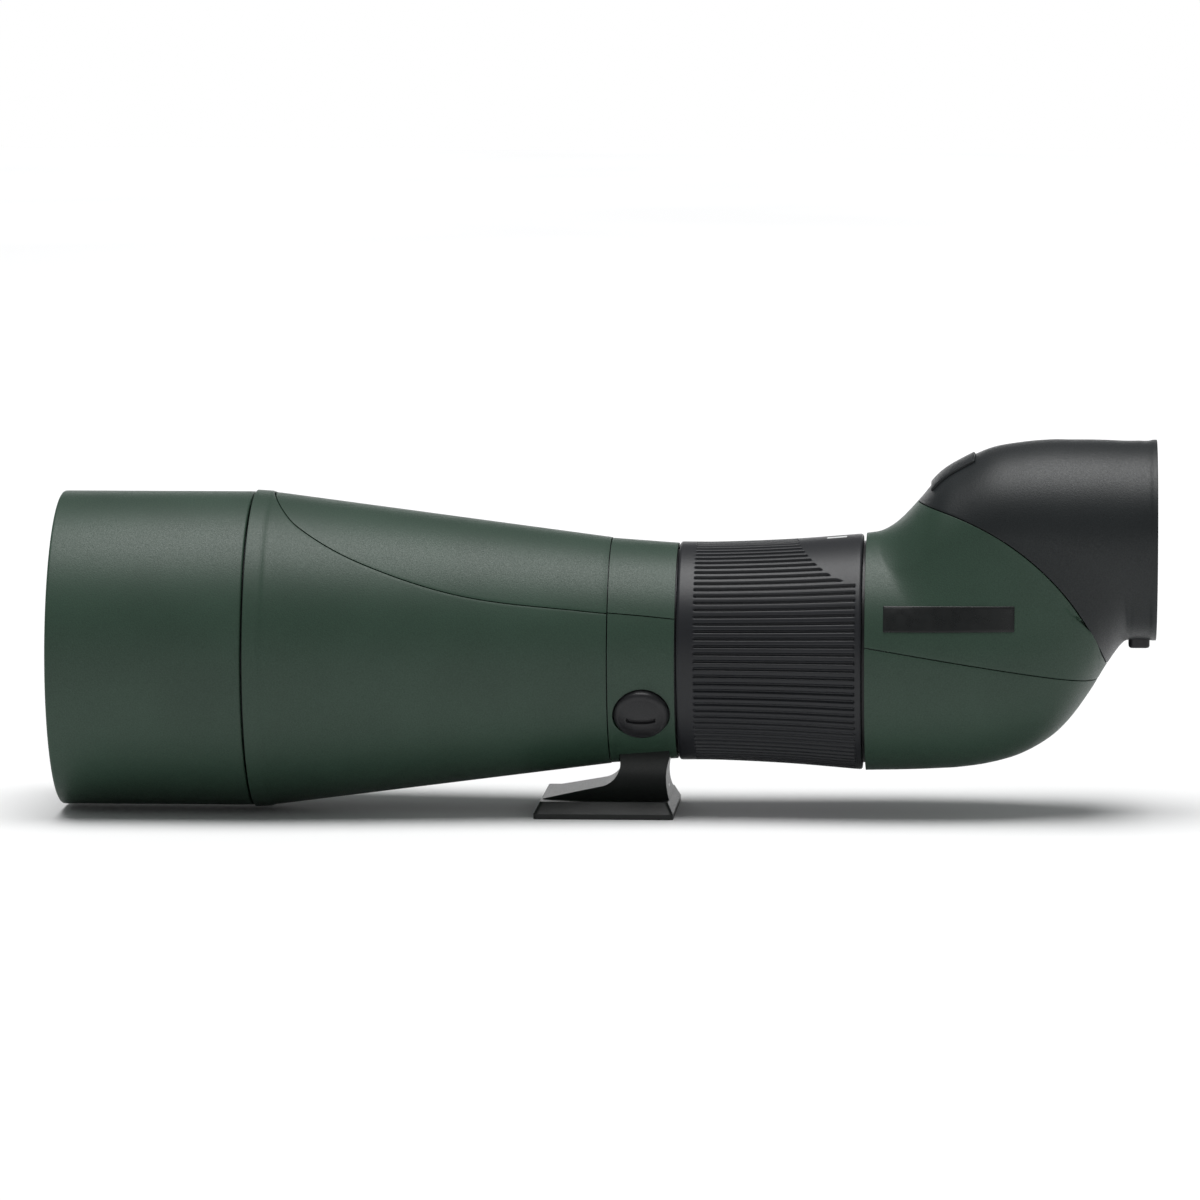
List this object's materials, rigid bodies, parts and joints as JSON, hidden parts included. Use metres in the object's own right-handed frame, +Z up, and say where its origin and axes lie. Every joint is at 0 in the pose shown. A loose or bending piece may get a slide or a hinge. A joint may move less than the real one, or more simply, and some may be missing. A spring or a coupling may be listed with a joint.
{
  "type": "spotting scope",
  "caption": "Straight-view spotting scope body with rotating tripod ring, ribbed focus ring, sliding sun shade and an offset bayonet socket for an eyepiece.",
  "frame": {"origin": "centre of the tripod thread's mouth on the base face of the foot", "axes": "+Z up out of the foot, X along the optical axis with the objective towards -X and the eyepiece socket towards +X, the body symmetric about Y = 0 apart from the clamp knob"},
  "size_m": [0.3339, 0.097, 0.114],
  "materials": {
    "green_armour": "grained rubber armour",
    "green_shell": "metal shell with bonded grained green armour",
    "black_cover": "metal cover with bonded grained black armour",
    "black_rubber": "satin black rubber",
    "black_metal": "black anodised",
    "black_plastic": "satin black",
    "glide_plastic": "low-friction plastic",
    "seal_rubber": "soft rubber",
    "steel": "blackened or bright steel",
    "brass": "plain",
    "optical_glass": "coated optical glass"
  },
  "bodies": {
    "mount": {"tripod_ring": "black_metal", "ring_armour": "green_armour", "ring_top_panel": "green_armour", "tripod_foot": "black_metal", "foot_screws": "steel", "thread_insert": "steel", "click_ball": "steel", "click_spring": "steel"},
    "scope": {"objective_barrel": "black_metal", "lens_cell": "black_metal", "front_objective_lens": "optical_glass", "lens_spacer": "black_metal", "rear_objective_lens": "optical_glass", "objective_retaining_ring": "black_metal", "shade_glide_rings": "glide_plastic", "front_baffle": "black_plastic", "rear_baffle": "black_plastic", "cone_armour": "green_armour", "cone_top_panel": "green_armour", "focus_barrel": "black_metal", "ring_retaining_nut": "black_metal", "focus_seals": "seal_rubber", "focus_washer": "glide_plastic", "front_bulkhead": "black_metal", "barrel_screws": "steel", "upper_housing_shell": "green_shell", "lower_housing_shell": "green_shell", "rear_cover": "black_cover", "eyepiece_collar": "black_cover", "near_badge_plate": "black_plastic", "far_badge_plate": "black_plastic", "top_plate": "black_plastic", "prism_plate": "black_metal", "front_prism": "optical_glass", "rear_prism": "optical_glass", "prism_clips": "steel", "prism_screws": "steel", "bayonet_ring": "black_metal", "bayonet_screws": "steel", "eyepiece_window": "optical_glass", "window_retainer": "black_metal", "release_spring": "steel"},
    "sun_shade": {"sun_shade_tube": "black_metal", "sun_shade_armour": "green_armour"},
    "clamp_knob": {"clamp_knob": "black_plastic"},
    "clamp_shoe": {"clamp_shoe": "brass"},
    "focus_ring": {"focus_ring_core": "black_metal", "focus_grip": "black_rubber"},
    "focus_lens": {"focus_carriage": "black_metal", "focusing_lens": "optical_glass", "focus_lens_retainer": "black_metal", "focus_pin": "steel"},
    "release_button": {"eyepiece_release": "black_plastic"}
  },
  "joints": [
    {"name": "body_rotation", "type": "hinge", "parent": "mount", "child": "scope", "pos_m": [0.01165, 0, 0.049], "axis": [1, 0, 0], "continuous": true},
    {"name": "sun_shade_slide", "type": "slide", "parent": "scope", "child": "sun_shade", "axis": [-1, 0, 0], "range_m": [0, 0.04]},
    {"name": "clamp_knob_turn", "type": "hinge", "parent": "mount", "child": "clamp_knob", "pos_m": [0.01165, -0.02944, 0.032], "axis": [0, -0.866, -0.5], "range_deg": [0, 180]},
    {"name": "clamp_shoe_slide", "type": "slide", "parent": "mount", "child": "clamp_shoe", "axis": [0, -0.866, -0.5], "range_m": [0, 0.0004]},
    {"name": "focus_ring_turn", "type": "hinge", "parent": "scope", "child": "focus_ring", "pos_m": [0.05, 0, 0.049], "axis": [1, 0, 0], "range_deg": [-150, 150]},
    {"name": "focus_lens_slide", "type": "slide", "parent": "scope", "child": "focus_lens", "axis": [1, 0, 0], "range_m": [-0.0091, 0.0091]},
    {"name": "eyepiece_release_press", "type": "slide", "parent": "scope", "child": "release_button", "axis": [0, 0, 1], "range_m": [0, 0.0015], "stiffness_N_per_m": 400, "springref_m": -0.002, "deforming": ["release_spring"]}
  ],
  "couplings": [
    {"joint": "clamp_knob_turn", "follows": "clamp_shoe_slide", "rad_per_m": 7853.9},
    {"joint": "focus_lens_slide", "follows": "focus_ring_turn", "m_per_rad": -0.0034377}
  ]
}
